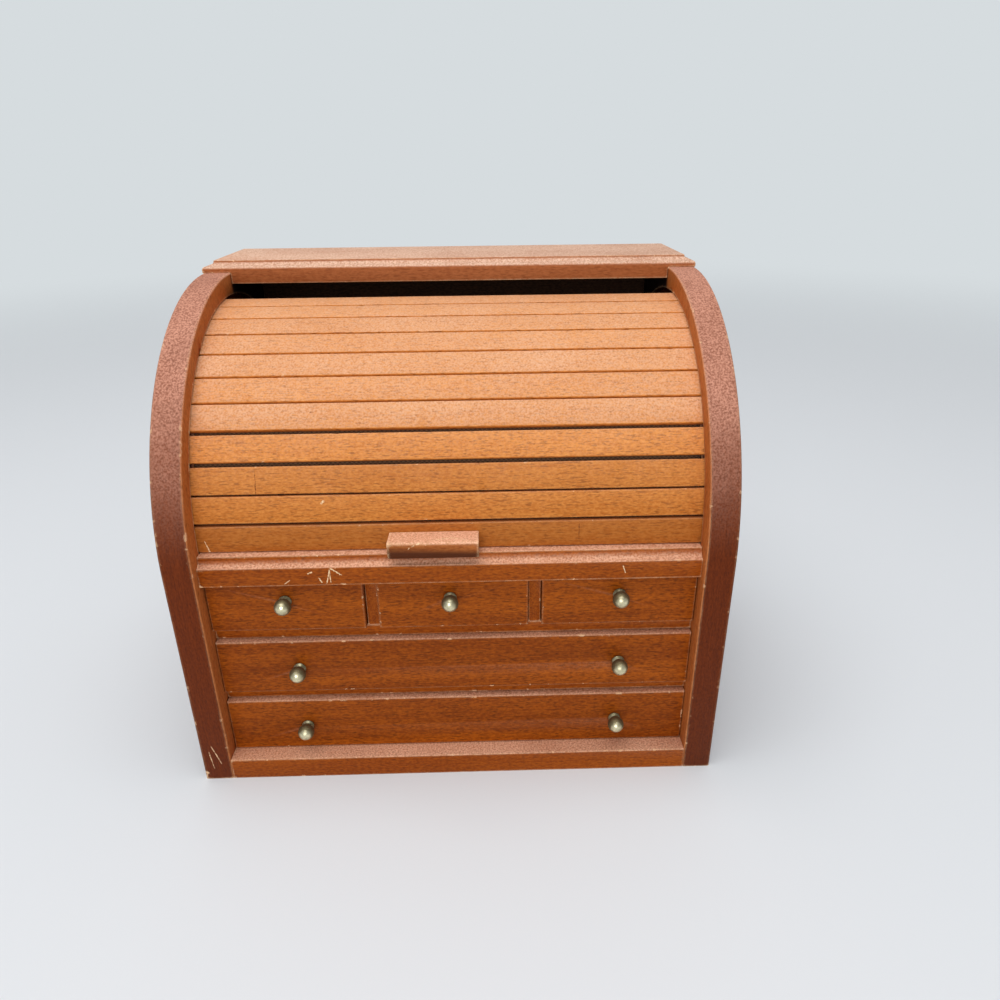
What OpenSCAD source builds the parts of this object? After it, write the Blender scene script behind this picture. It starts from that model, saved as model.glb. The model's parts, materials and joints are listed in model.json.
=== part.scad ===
// Keepsake box in the shape of a small roll-top desk: a slatted tambour lid over five drawers.
// X runs across the front, Y into the depth, Z up. The origin is under the middle of the box.

/* [Case] */
// Width across the outer faces of the two side panels
case_w = 222; // [196:1:280]
// Depth from the front edges of the side panels to the back face
case_d = 153; // [149:1:190]
// Height of the side panels
side_h = 201; // [197:1:220]
// Thickness of each side panel
panel_t = 12; // [10:0.5:16]
// Radius of the quarter-round front of the side panels
front_r = 100; // [92:1:110]
// Rounding of the side panels' front edges
edge_ease = 0.8; // [0.3:0.1:2]
// Thickness of the back panel
back_t = 2.5; // [2:0.5:5]
// How far the back panel is let into each side panel
back_rebate_w = 6; // [5:0.5:8]

/* [Top board] */
// Thickness of the board above the side panels
top_t = 4.9; // [4:0.1:8]
// How far the board's tongue drops between the side panels
tongue_h = 4.8; // [2:0.1:8]
// Set-back of the board's front face behind the end of the quarter round
top_setback = 0.4; // [0:0.1:4]
// Overhang of the board past each side panel
top_overhang = 0.5; // [0:0.1:3]
// Height of the rounded nose of the moulded edge
nose_h = 2.6; // [2:0.1:3]
// Rounding of that nose
nose_r = 1.3; // [0.6:0.1:1.8]
// Width of the whole moulded edge
mould_w = 4.3; // [3:0.1:7]
// Height of the small step above the cove
mould_step = 0.4; // [0.2:0.1:0.8]

/* [Desk shelf] */
// Thickness of the shelf
shelf_t = 12; // [9:0.5:16]
// Distance of the shelf's front face behind the side panels' front edges
shelf_y = 4; // [2:0.5:7]
// Width of the whole moulded edge of the shelf
shelf_cove_w = 2.8; // [1.5:0.1:4]
// Height of the shelf's cove
shelf_cove_h = 3.5; // [1.5:0.1:4]
// Height of the step above the cove
shelf_step = 0.3; // [0.2:0.1:2]
// Rounding of the shelf's front edge under the cove
shelf_nose_r = 0.6; // [0.3:0.1:1.2]
// Thickness of the felt on the shelf
felt_t = 1; // [0.5:0.1:2]
// Thickness of the board that closes the compartment at the back
inner_back_t = 3; // [2:0.5:5]
// Height of that board above the shelf
inner_back_h = 46.4; // [30:0.2:47]

/* [Drawer nest] */
// Height of the base rail
base_h = 10; // [6:0.5:14]
// Depth of the base rail
base_d = 14; // [10:0.5:20]
// Thickness of the bottom board
bottom_t = 4; // [3:0.5:6]
// Height of the opening of each long drawer
long_h = 25.9; // [22:0.1:28]
// Height of the openings of the small drawers
small_h = 23.1; // [20:0.1:26]
// Thickness of the board between the two long drawers
lower_board_t = 4.5; // [3:0.1:6]
// Thickness of the board under the small drawers
upper_board_t = 5.2; // [3:0.1:7]
// Thickness of the upright dividers between the small drawers
divider_t = 5; // [3:0.1:8]
// Width of the opening of the middle small drawer
middle_w = 61.4; // [50:0.1:72]
// Distance of the boards' front edges behind the side panels' front edges
rail_y = 10.4; // [8:0.1:14]

/* [Drawers] */
// Distance of the drawer faces behind the side panels' front edges
drawer_y = 7.35; // [4:0.05:9]
// Gap round a closed drawer front
drawer_gap = 0.3; // [0.2:0.05:0.8]
// Thickness of a drawer front
front_t = 8; // [6:0.5:12]
// Rounding of the edges of a drawer front
front_ease = 0.5; // [0.2:0.1:1]
// Thickness of the drawer sides and backs
wall_t = 4; // [3:0.5:6]
// Thickness of a drawer bottom
floor_t = 2; // [1.5:0.5:3]
// Height of a drawer bottom above the lower edge of its sides
floor_up = 1.5; // [1:0.5:3]
// Drop of the drawer sides below the top of the front
side_drop = 2.4; // [1:0.1:5]

/* [Knobs] */
// Distance of a long drawer's knobs from the middle of the pair
knob_x = 67; // [50:0.5:80]
// Shift of the long drawers' knobs to the right of the middle
knob_shift = 1.6; // [-3:0.1:3]
// Height of the long drawers' knobs above the middle of the front
long_knob_up = -0.6; // [-4:0.1:4]
// Height of the small drawers' knobs above the middle of the front
small_knob_up = 2.7; // [-4:0.1:5]
// Shift of the middle drawer's knob to the right of the middle
middle_knob_x = -1.1; // [-3:0.1:3]
// Diameter of the ball
ball_d = 6.8; // [5:0.1:7.4]
// Distance from the drawer face to the tip of the ball
knob_reach = 8; // [7.9:0.1:12]
// Diameter of the collar on the drawer face
collar_d = 5.2; // [4:0.1:6]
// Thickness of the collar
collar_t = 0.7; // [0.4:0.1:1.2]
// Diameter of the neck behind the ball
neck_d = 3; // [2:0.1:4]
// Diameter of the spigot in the drawer front
spigot_d = 2.4; // [1.6:0.1:3]
// Length of the spigot
spigot_l = 5; // [3:0.5:6]
// Clearance of the spigot in its hole, on the radius
spigot_gap = 0.05; // [0.02:0.01:0.1]

/* [Tambour] */
// Radius of the arc that the slat faces lie on
track_r = 85; // [80:1:88]
// Distance of the lowest slat's face behind the side panels' front edges
track_y = 10; // [8:0.5:13]
// Drop of the slats' highest point below the top of the side panels
crown_drop = 9.4; // [7:0.1:14]
// Width of a slat
slat_w = 10.75; // [9:0.05:11]
// Thickness of a slat
slat_t = 3.2; // [2.5:0.1:4]
// Rounding of a slat's outer edges
slat_ease = 0.5; // [0.2:0.1:1]
// Common gap between the faces of two slats
slat_gap = 0.65; // [0.55:0.05:1]
// Gap between the closed tambour's lowest corner and the shelf
close_gap = 0.1; // [0.1:0.05:1]
// Depth of the track groove in each side panel
track_depth = 3.5; // [2.5:0.5:5]
// Clearance of the slats in the groove, above and below
track_gap = 0.35; // [0.2:0.05:0.6]
// Clearance of the slat ends from the bottom of the groove
end_gap = 0.6; // [0.3:0.1:1]
// Thickness of the canvas backing
canvas_t = 0.5; // [0.3:0.1:0.8]
// Distance of a canvas strip's ends from the edges of its slats
canvas_inset = 0.6; // [0.4:0.1:2]

/* [Pull] */
// Width of the pull
pull_w = 35; // [20:0.5:60]
// Distance of the pull's middle from the middle of the box
pull_x = -6.5; // [-40:0.1:40]
// How far the pull stands out from its slat
pull_out = 11.1; // [7:0.1:14]
// Distance of the pull's underside above the lower edge of its slat
pull_foot = 0.2; // [0:0.1:1.5]
// How far the pull's front hangs below its underside
pull_hang = 0.8; // [0:0.1:1.2]
// Height of the pull's flat top above the middle of its slat
pull_up = 1.9; // [1:0.1:3]
// Rounding of the pull's upper front edge
pull_ease = 1; // [0.4:0.1:2]
// How far the pull's rounded front turns under
pull_under = 3.8; // [2:0.1:6]

/* [Back nails] */
// Diameter of the nail heads
nail_head_d = 2.6; // [2:0.1:3.5]
// Diameter of the nail shanks
nail_d = 1.2; // [0.8:0.1:1.6]
// Length of the nails under the head
nail_l = 9; // [6:0.5:12]
// How far a head stands proud of the back
nail_proud = 0.3; // [0.1:0.1:0.5]

/* [Hidden] */
$fn = 48;

inner_w = case_w - 2 * panel_t;
back_y = case_d - back_t;
quarter_z = side_h - front_r;
top_y = front_r + top_setback;

// heights of the drawer nest, from the table up
lower_board_z = base_h + long_h;
upper_drawer_z = lower_board_z + lower_board_t;
upper_board_z = upper_drawer_z + long_h;
small_z = upper_board_z + upper_board_t;
shelf_z = small_z + small_h;
shelf_top = shelf_z + shelf_t;
divider_x = (middle_w + divider_t) / 2;
side_w = (inner_w - middle_w) / 2 - divider_t;
side_x = divider_x + (divider_t + side_w) / 2;

// the tambour's track
track_cy = track_y + track_r;
track_cz = side_h - crown_drop - track_r;
slat_arc = 2 * asin(slat_w / 2 / track_r);
slat_face_r = sqrt(pow(track_r, 2) - pow(slat_w / 2, 2));
slat_back_r = slat_face_r - slat_t;
// gaps above each slat from the lowest up: some joints of the old cloth have opened
gaps = [1.85, 1.15, 2.6, 2.6, 1, 1, 1, 1, 1, 1.3] * slat_gap;
lead_slats = 7;
slat_count = 11;
function gap_sum(n) = n <= 0 ? 0 : gaps[n - 1] + gap_sum(n - 1);
function deg_of(arc) = arc / track_r * 180 / PI;
// the closed tambour stands on the lower of its lowest slat's two edges, front or back
close_z = shelf_top + close_gap - track_cz;
heel_r = sqrt(pow(slat_back_r, 2) + pow(slat_w / 2, 2));
heel_deg = atan(slat_w / 2 / slat_back_r) - slat_arc / 2;
// or higher, where the pull's underside would otherwise touch the shelf's front edge
pull_h = slat_w / 2 + pull_up - pull_foot;
edge_out = min(track_y - shelf_y - shelf_cove_w, pull_out - pull_under);
edge_down = pull_h - pull_up + pull_hang * edge_out / (pull_out - pull_under);
edge_r = sqrt(pow(slat_face_r + edge_out, 2) + pow(edge_down, 2));
edge_deg = atan(edge_down / (slat_face_r + edge_out)) - slat_arc / 2;
first_deg = max(asin(close_z / track_r), asin(close_z / heel_r) + heel_deg,
    asin(close_z / edge_r) + edge_deg);
function slat_low(n) = first_deg + (n - 1) * slat_arc + deg_of(gap_sum(n - 1));
function slat_deg(n) = slat_low(n) + slat_arc / 2;
// point of the track circle at radius r and angle a, measured up from the front
function track_pt(r, a) = [track_cy - r * cos(a), track_cz + r * sin(a)];

// the groove widens behind the crown, where the tail of the tambour swings down
flare_from = 56;
flare_rate = 0.0035;
flare_to = 128;
pocket_y = case_d - 13.7;
pocket_z = 129.5;
pocket_lip = 4;
function groove_r(a) = slat_back_r - track_gap - flare_rate * pow(max(0, a - flare_from), 2);
groove_out_r = track_r + track_gap;
groove_low = first_deg - deg_of(1);
flare_steps = 24;

slat_l = inner_w + 2 * (track_depth - end_gap);
drawer_l = back_y - drawer_y - drawer_gap;
front_most = min(drawer_y - knob_reach, track_y - pull_out);
back_most = case_d + nail_proud;
origin_y = (front_most + back_most) / 2;
inner_back_y = pocket_y - 0.4;
felt_gap = 0.5;

wood = [0.62, 0.33, 0.14];
dark_wood = [0.45, 0.2, 0.12];
slat_wood = [0.72, 0.42, 0.2];
raw_wood = [0.78, 0.62, 0.42];
brass = [0.62, 0.56, 0.4];
felt = [0.08, 0.08, 0.09];
cloth = [0.6, 0.52, 0.38];

// puts the finished piece on the box's origin
module placed() {
    translate([0, -origin_y, 0]) children();
}

// draws a (Y, Z) outline and gives it a length w along X, centred
module across(w) {
    rotate([90, 0, 90]) translate([0, 0, -w / 2]) linear_extrude(w) children();
}

// arc of points round c, from angle a to angle b
function arc(c, r, a, b, n) =
    [for (i = [0 : n]) c + r * [cos(a + (b - a) * i / n), sin(a + (b - a) * i / n)]];

// moulded edge, from its lowest point up: face, rounded nose, cove and step
function moulding(face, r, w, cove_h, step) = concat(
    [[0, 0]],
    arc([r, face - r], r, 180, 90, 6),
    [for (i = [1 : 8]) [r + (w - r) * sin(i * 11.25), face + cove_h * (1 - cos(i * 11.25))]],
    [[w, face + cove_h + step]]
);

// board with its four front edges rounded over by e
module eased_board(w, t, h, e) {
    intersection() {
        across(w) polygon(concat([[t, 0]], arc([e, e], e, 270, 180, 4),
            arc([e, h - e], e, 180, 90, 4), [[t, h]]));
        linear_extrude(h) polygon(concat([[w / 2, t], [-w / 2, t]],
            arc([e - w / 2, e], e, 180, 270, 4), arc([w / 2 - e, e], e, 270, 360, 4)));
    }
}

// ---- case ----

// section of a side panel's rim, from its centre line out to the rounded edges
module rim_section() {
    polygon(concat([[0, 0]],
        arc([front_r - edge_ease, edge_ease], edge_ease, -90, 0, 4),
        arc([front_r - edge_ease, panel_t - edge_ease], edge_ease, 0, 90, 4),
        [[0, panel_t]]));
}

// cuts an outline into a panel's inner face, from just outside it
module sunk() {
    translate([0, 0, -1]) linear_extrude(track_depth + 1) children();
}

// disc round the track's centre, as deep as the groove
module track_disc(r) {
    translate([track_cy, track_cz, -1]) cylinder(h = track_depth + 1, r = r, $fn = 180);
}

// the groove that the slats run in: a true arc at the front, then the wider way down at the back
module groove() {
    beyond_r = 1.6 * groove_out_r;
    bend_z = track_pt(groove_r(flare_to), flare_to)[1] - pocket_lip;
    difference() {
        intersection() {
            track_disc(groove_out_r);
            sunk() polygon([[track_cy, track_cz],
                for (i = [0 : 2]) track_pt(beyond_r, groove_low + (flare_from - groove_low) * i / 2)]);
        }
        track_disc(groove_r(flare_from));
    }
    intersection() {
        track_disc(groove_out_r);
        sunk() polygon(concat(
            [for (i = [0 : flare_steps])
                let (a = flare_from + (flare_to - flare_from) * i / flare_steps)
                track_pt(groove_r(a), a)],
            [[pocket_y, bend_z], [pocket_y, pocket_z], [back_y, pocket_z],
                [back_y, side_h], track_pt(beyond_r, flare_from)]));
    }
}

// right-hand panel, with its inner face on X = 0 of the drawing
module side_panel() {
    color(dark_wood)
    difference() {
        rotate([90, 0, 90]) union() {
            translate([front_r, quarter_z, 0]) rotate([0, 0, 90])
                rotate_extrude(angle = 90, $fn = 120) rim_section();
            translate([front_r, quarter_z, 0]) rotate([90, 0, 0])
                linear_extrude(quarter_z) mirror([1, 0, 0]) rim_section();
            translate([front_r, 0, 0]) cube([case_d - front_r, side_h, panel_t]);
        }
        rotate([90, 0, 90]) groove();
        translate([-1, back_y, -1]) cube([back_rebate_w + 1, back_t + 1, side_h + 2]);
    }
}

module right_side() {
    placed() translate([inner_w / 2, 0, 0]) side_panel();
}

module left_side() {
    placed() mirror([1, 0, 0]) translate([inner_w / 2, 0, 0]) side_panel();
}

module top_board() {
    top_w = case_w + 2 * top_overhang;
    cove = top_t - nose_h - mould_step;
    edge = moulding(nose_h, nose_r, mould_w, cove, mould_step);
    color(wood) placed() union() {
        translate([-inner_w / 2, top_y, side_h - tongue_h])
            cube([inner_w, back_y - top_y, tongue_h]);
        translate([0, 0, side_h]) intersection() {
            across(top_w) polygon(concat([for (p = edge) p + [top_y, 0]],
                [[case_d, top_t], [case_d, 0]]));
            translate([0, case_d + 1, 0]) rotate([90, 0, 0])
                linear_extrude(case_d - top_y + 2)
                polygon(concat([for (p = edge) p - [top_w / 2, 0]],
                    [for (i = [len(edge) - 1 : -1 : 0]) [top_w / 2 - edge[i][0], edge[i][1]]]));
        }
    }
}

module desk_shelf() {
    face = shelf_t - shelf_cove_h - shelf_step;
    edge = moulding(face, shelf_nose_r, shelf_cove_w, shelf_cove_h, shelf_step);
    color(wood) placed() translate([0, shelf_y, shelf_z]) across(inner_w)
        polygon(concat(edge, [[back_y - shelf_y, shelf_t], [back_y - shelf_y, 0]]));
}

module desk_felt() {
    felt_y = back_pt(1, slat_w / 2, canvas_t)[0] + felt_gap;
    color(felt) placed() translate([felt_gap - inner_w / 2, felt_y, shelf_top])
        cube([inner_w - 2 * felt_gap, inner_back_y - inner_back_t - felt_gap - felt_y, felt_t]);
}

module inner_back() {
    color(wood) placed() translate([-inner_w / 2, inner_back_y - inner_back_t, shelf_top])
        cube([inner_w, inner_back_t, inner_back_h]);
}

module back_panel() {
    w = inner_w + 2 * back_rebate_w;
    color(raw_wood) placed() translate([-w / 2, back_y, 0]) cube([w, back_t, side_h]);
}

module back_nail() {
    rotate([-90, 0, 0]) union() {
        translate([0, 0, -nail_l]) cylinder(h = nail_l, d = nail_d, $fn = 16);
        cylinder(h = nail_proud, d = nail_head_d, $fn = 20);
    }
}

module back_nails() {
    nail_x = inner_w / 2 + (track_depth + back_rebate_w) / 2;
    color("dimgray") placed() {
        for (s = [-1, 1], i = [0 : 3])
            translate([s * nail_x, case_d, 18 + i * (side_h - 36) / 3]) back_nail();
        for (s = [-1, 1])
            translate([s * inner_w / 4, case_d, shelf_z + shelf_t / 2]) back_nail();
    }
}

module nest_board(z, t) {
    color(wood) placed() translate([-inner_w / 2, rail_y, z])
        cube([inner_w, back_y - rail_y, t]);
}

module upper_board() {
    nest_board(upper_board_z, upper_board_t);
}

module lower_board() {
    nest_board(lower_board_z, lower_board_t);
}

module divider(x) {
    color(wood) placed() translate([x - divider_t / 2, rail_y, small_z])
        cube([divider_t, back_y - rail_y, small_h]);
}

module divider_left() {
    divider(-divider_x);
}

module divider_right() {
    divider(divider_x);
}

module base_rail() {
    color(wood) placed() across(inner_w)
        polygon(concat([[base_d, 0], [0, 0]], arc([0.5, base_h - 0.5], 0.5, 180, 90, 4),
            [[base_d, base_h]]));
}

module bottom_board() {
    color(raw_wood) placed() translate([-inner_w / 2, base_d, base_h - bottom_t])
        cube([inner_w, back_y - base_d, bottom_t]);
}

// ---- tambour ----

// puts a flat outline on slat n: its x runs outwards from the slat's face and its y downwards
module on_track(n) {
    translate(track_pt(slat_face_r, slat_deg(n))) rotate(180 - slat_deg(n)) children();
}

module slat(n) {
    e = slat_ease;
    color(slat_wood) placed() across(slat_l) on_track(n) polygon(concat(
        [[-slat_t, -slat_w / 2]],
        arc([-e, e - slat_w / 2], e, 270, 360, 4),
        arc([-e, slat_w / 2 - e], e, 0, 90, 4),
        [[-slat_t, slat_w / 2]]));
}

module pull() {
    belly = pull_h + pull_hang - pull_ease;
    color(slat_wood) placed() translate([pull_x, 0, 0]) across(pull_w) on_track(1)
        translate([0, -pull_up]) polygon(concat(
            [[0, 0]],
            arc([pull_out - pull_ease, pull_ease], pull_ease, 270, 360, 4),
            [for (i = [1 : 8]) [
                pull_out - pull_under * (1 - cos(i * 11.25)),
                pull_ease + belly * sin(i * 11.25)]],
            [[0, pull_h]]));
}

// point on the back of slat n, u along the slat's width from its middle, at a depth behind it
function back_pt(n, u, depth) =
    let (a = slat_deg(n))
    track_pt(slat_back_r - depth, a) + u * [sin(a), cos(a)];

// one face of the canvas on the lead slats, from the lowest edge up
function canvas_line(depth) = concat(
    [back_pt(1, canvas_inset - slat_w / 2, depth)],
    [for (i = [1 : lead_slats - 1], s = [0, 1])
        back_pt(i + s, (0.5 - s) * slat_w, depth)],
    [back_pt(lead_slats, slat_w / 2 - canvas_inset, depth)]);

module canvas_lead() {
    back = canvas_line(canvas_t);
    color(cloth) placed() across(inner_w - 2 * end_gap)
        polygon(concat(canvas_line(0), [for (i = [len(back) - 1 : -1 : 0]) back[i]]));
}

module canvas(n) {
    strip = slat_w - 2 * canvas_inset;
    color(cloth) placed() across(inner_w - 2 * end_gap) on_track(n)
        translate([-slat_t - canvas_t, -strip / 2]) square([canvas_t, strip]);
}

// ---- drawers ----

module knob_hole(x, z) {
    translate([x, drawer_y - 1, z]) rotate([-90, 0, 0])
        cylinder(h = 1 + spigot_l + 0.3, r = spigot_d / 2 + spigot_gap, $fn = 32);
}

module knob(x, z) {
    ball_z = knob_reach - ball_d / 2;
    from = asin(neck_d / ball_d);
    translate([x, drawer_y, z]) rotate([90, 0, 0]) rotate_extrude() polygon(concat(
        [[0, -spigot_l], [spigot_d / 2, -spigot_l], [spigot_d / 2, 0], [collar_d / 2, 0],
            [collar_d / 2, collar_t], [neck_d / 2, collar_t + 0.4]],
        [for (i = [0 : 16]) let (a = from + (180 - from) * i / 16)
            [ball_d / 2 * sin(a), ball_z - ball_d / 2 * cos(a)]]));
}

// x, z: middle and floor of the opening; w, h: its size; knobs: their places along the front,
// up: their height above its middle
module drawer_front(x, z, w, h, knobs, up) {
    color(wood) placed() difference() {
        translate([x, drawer_y, z + drawer_gap])
            eased_board(w - 2 * drawer_gap, front_t, h - 2 * drawer_gap, front_ease);
        for (k = knobs) knob_hole(k, z + h / 2 + up);
    }
}

module drawer_sides(x, z, w, h) {
    color(raw_wood) placed() for (s = [0, 1]) mirror([s, 0, 0])
        translate([(1 - 2 * s) * x + w / 2 - drawer_gap - wall_t, drawer_y + front_t,
            z + drawer_gap])
            cube([wall_t, drawer_l - front_t, h - 2 * drawer_gap - side_drop]);
}

module drawer_back(x, z, w, h) {
    inside = w - 2 * (drawer_gap + wall_t);
    color(raw_wood) placed()
        translate([x - inside / 2, drawer_y + drawer_l - wall_t, z + drawer_gap])
            cube([inside, wall_t, h - 2 * drawer_gap - side_drop]);
}

module drawer_bottom(x, z, w) {
    inside = w - 2 * (drawer_gap + wall_t);
    color(raw_wood) placed()
        translate([x - inside / 2, drawer_y + front_t, z + drawer_gap + floor_up])
            cube([inside, drawer_l - front_t - wall_t, floor_t]);
}

module drawer_knobs(z, h, knobs, up) {
    color(brass) placed() for (k = knobs) knob(k, z + h / 2 + up);
}

pair = [knob_shift - knob_x, knob_shift + knob_x];

left_side();
right_side();
top_board();
desk_shelf();
desk_felt();
inner_back();
back_panel();
back_nails();
upper_board();
lower_board();
divider_left();
divider_right();
base_rail();
bottom_board();
slat(1);  // slat_01
slat(2);  // slat_02
slat(3);  // slat_03
slat(4);  // slat_04
slat(5);  // slat_05
slat(6);  // slat_06
slat(7);  // slat_07
slat(8);  // slat_08
slat(9);  // slat_09
slat(10);  // slat_10
slat(11);  // slat_11
pull();
canvas_lead();
canvas(8);  // canvas_08
canvas(9);  // canvas_09
canvas(10);  // canvas_10
canvas(11);  // canvas_11
drawer_front(-side_x, small_z, side_w, small_h, [-side_x], small_knob_up);  // left_drawer_front
drawer_sides(-side_x, small_z, side_w, small_h);  // left_drawer_sides
drawer_back(-side_x, small_z, side_w, small_h);  // left_drawer_back
drawer_bottom(-side_x, small_z, side_w);  // left_drawer_bottom
drawer_knobs(small_z, small_h, [-side_x], small_knob_up);  // left_drawer_knob
drawer_front(0, small_z, middle_w, small_h, [middle_knob_x], small_knob_up);  // middle_drawer_front
drawer_sides(0, small_z, middle_w, small_h);  // middle_drawer_sides
drawer_back(0, small_z, middle_w, small_h);  // middle_drawer_back
drawer_bottom(0, small_z, middle_w);  // middle_drawer_bottom
drawer_knobs(small_z, small_h, [middle_knob_x], small_knob_up);  // middle_drawer_knob
drawer_front(side_x, small_z, side_w, small_h, [side_x], small_knob_up);  // right_drawer_front
drawer_sides(side_x, small_z, side_w, small_h);  // right_drawer_sides
drawer_back(side_x, small_z, side_w, small_h);  // right_drawer_back
drawer_bottom(side_x, small_z, side_w);  // right_drawer_bottom
drawer_knobs(small_z, small_h, [side_x], small_knob_up);  // right_drawer_knob
drawer_front(0, upper_drawer_z, inner_w, long_h, pair, long_knob_up);  // upper_drawer_front
drawer_sides(0, upper_drawer_z, inner_w, long_h);  // upper_drawer_sides
drawer_back(0, upper_drawer_z, inner_w, long_h);  // upper_drawer_back
drawer_bottom(0, upper_drawer_z, inner_w);  // upper_drawer_bottom
drawer_knobs(upper_drawer_z, long_h, pair, long_knob_up);  // upper_drawer_knobs
drawer_front(0, base_h, inner_w, long_h, pair, long_knob_up);  // lower_drawer_front
drawer_sides(0, base_h, inner_w, long_h);  // lower_drawer_sides
drawer_back(0, base_h, inner_w, long_h);  // lower_drawer_back
drawer_bottom(0, base_h, inner_w);  // lower_drawer_bottom
drawer_knobs(base_h, long_h, pair, long_knob_up);  // lower_drawer_knobs
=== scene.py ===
import json
import math

import bmesh
import bpy
from mathutils import Matrix, Vector, noise

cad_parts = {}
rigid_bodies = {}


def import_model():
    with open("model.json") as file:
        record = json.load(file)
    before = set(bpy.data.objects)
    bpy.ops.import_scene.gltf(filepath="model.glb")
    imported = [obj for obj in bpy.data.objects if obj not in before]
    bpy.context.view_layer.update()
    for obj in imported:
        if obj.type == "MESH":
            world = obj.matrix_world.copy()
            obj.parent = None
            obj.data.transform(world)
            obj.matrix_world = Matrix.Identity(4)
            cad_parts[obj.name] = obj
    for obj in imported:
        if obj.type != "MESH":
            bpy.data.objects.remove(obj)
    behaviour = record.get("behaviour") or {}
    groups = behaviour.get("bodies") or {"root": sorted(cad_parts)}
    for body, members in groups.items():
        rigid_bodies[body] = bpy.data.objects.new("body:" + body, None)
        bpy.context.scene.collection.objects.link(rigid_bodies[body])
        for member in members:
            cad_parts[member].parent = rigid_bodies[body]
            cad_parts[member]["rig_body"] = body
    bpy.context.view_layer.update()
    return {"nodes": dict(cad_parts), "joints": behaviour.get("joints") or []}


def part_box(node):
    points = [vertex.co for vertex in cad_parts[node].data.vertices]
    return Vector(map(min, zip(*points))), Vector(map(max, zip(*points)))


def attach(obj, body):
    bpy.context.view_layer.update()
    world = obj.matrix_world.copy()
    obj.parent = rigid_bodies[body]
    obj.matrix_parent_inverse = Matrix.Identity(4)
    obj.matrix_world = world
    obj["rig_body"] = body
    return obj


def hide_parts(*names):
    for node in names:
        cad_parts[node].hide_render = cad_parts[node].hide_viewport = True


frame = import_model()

# ---- side panels ----
# Two boards of close-grained hardwood, stained a dark red-brown outside and the same orange as
# the case on their inner faces. The front is sawn to a quarter round. Handling has rubbed and
# chipped the arrises, and the upper part of the curve is pale with dust and partly with a painted
# sheen of the overhead light.

PANEL_LIGHT = (114, 48, 12)
PANEL_DARK = (84, 32, 6)
PANEL_FLECK = (60, 22, 6)
INSIDE_LIGHT = (196, 116, 60)
INSIDE_DARK = (164, 88, 38)
INSIDE_HALF = 0.0994
# Behind the header and above the slats the inner faces are painted near black: painted shade for
# the dark gap under the header.
BEHIND_HEADER = (0.022, 0.026)
ABOVE_SLATS = (0.170, 0.180)
INSIDE_PAINTED_SHADE = (34, 26, 24)
BARE_WOOD = (236, 194, 150)
DUST = (214, 158, 134)
# Pale colour on what faces up on the panels: dust, and partly a painted sheen of the overhead
# light.
PANEL_DUST_AND_SHEEN = (206, 146, 122)
PANEL_EASE_MM = 0.2

# How often each part of the grain changes in a metre, along it and across it.
GRAIN_BANDS = (5, 75, 75)
GRAIN_CELLS = (650, 1300, 1300)
GRAIN_FIBRES = (60, 1500, 1500)
GRAIN_FLECKS = (340, 1800, 1800)
# How often wear, chips, dust and the ragged sides of a scratch change in a metre, any way.
WEAR_PATCHES = (70, 70, 70)
WEAR_CRUMBS = (650, 650, 650)
CHIP_PLACES = (330, 330, 330)
DUST_PATCHES = (40, 40, 40)
DUST_SPECKS = (1300, 1300, 1300)
SCRATCH_SIDES = (1400, 1400, 1400)
GRAIN_RELIEF_M = 0.00012
GRAIN_RELIEF_STRENGTH = 0.3
DULL_ROUGHNESS = 0.85
# The colour sockets of a Mix node, which shares its socket names between its kinds.
MIX_FIRST = 6
MIX_SECOND = 7
MIX_RESULT = 2
# Corners nearer than this are one, and faces that turn less than this are one flat face.
JOIN_M = 1e-6
FLAT_TURN = 0.002
ARRIS_DEG = 32


def paint(rgb):
    """Linear colour of an sRGB colour given in steps of 255."""
    return tuple(((c / 255 + 0.055) / 1.055) ** 2.4 for c in rgb) + (1,)


def fill_in(tree, made, inputs):
    """Sets a node's inputs to values or links them to sockets."""
    for key, value in dict(inputs).items():
        if isinstance(value, bpy.types.NodeSocket):
            tree.links.new(value, made.inputs[key])
        else:
            made.inputs[key].default_value = value
    return made


def node(tree, kind, inputs=(), **settings):
    """A new node with its settings and inputs."""
    made = tree.nodes.new(kind)
    for key, value in settings.items():
        setattr(made, key, value)
    return fill_in(tree, made, inputs)


def calc(tree, operation, *values):
    """Output of a Math node."""
    return node(tree, "ShaderNodeMath", enumerate(values), operation=operation).outputs[0]


def vector(tree, operation, *values):
    """A Vector Math node."""
    return node(tree, "ShaderNodeVectorMath", enumerate(values), operation=operation)


def fade(tree, value, low, high, to_low=0.0, to_high=1.0):
    """The value's way from low to high, eased at both ends."""
    return node(tree, "ShaderNodeMapRange",
                {"Value": value, "From Min": low, "From Max": high,
                 "To Min": to_low, "To Max": to_high},
                interpolation_type="SMOOTHSTEP").outputs[0]


def stretched(tree, place, scale, detail=2.0, seed=0.0, distortion=0.0):
    """Noise drawn out along X: scale is how often it changes in a metre, by axis."""
    return node(tree, "ShaderNodeTexNoise",
                {"Vector": vector(tree, "MULTIPLY", place, scale).outputs[0], "W": seed,
                 "Scale": 1.0, "Detail": detail, "Distortion": distortion},
                noise_dimensions="4D").outputs["Fac"]


def blend_colour(tree, factor, first, second):
    """Mixes two colours."""
    mixed = node(tree, "ShaderNodeMix",
                 {"Factor": factor, MIX_FIRST: first, MIX_SECOND: second}, data_type="RGBA")
    return mixed.outputs[MIX_RESULT]


def new_group(name, inputs, outputs):
    """An empty shader node group with named sockets, and its two ends."""
    tree = bpy.data.node_groups.new(name, "ShaderNodeTree")
    for label, kind, value in inputs:
        socket = tree.interface.new_socket(label, in_out="INPUT", socket_type="NodeSocket" + kind)
        socket.default_value = value
    for label, kind in outputs:
        tree.interface.new_socket(label, in_out="OUTPUT", socket_type="NodeSocket" + kind)
    return tree, tree.nodes.new("NodeGroupInput").outputs, tree.nodes.new("NodeGroupOutput").inputs


def use_group(tree, group, values):
    """Places a node group in a material and returns its outputs."""
    return fill_in(tree, node(tree, "ShaderNodeGroup", node_tree=group), values).outputs


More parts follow.
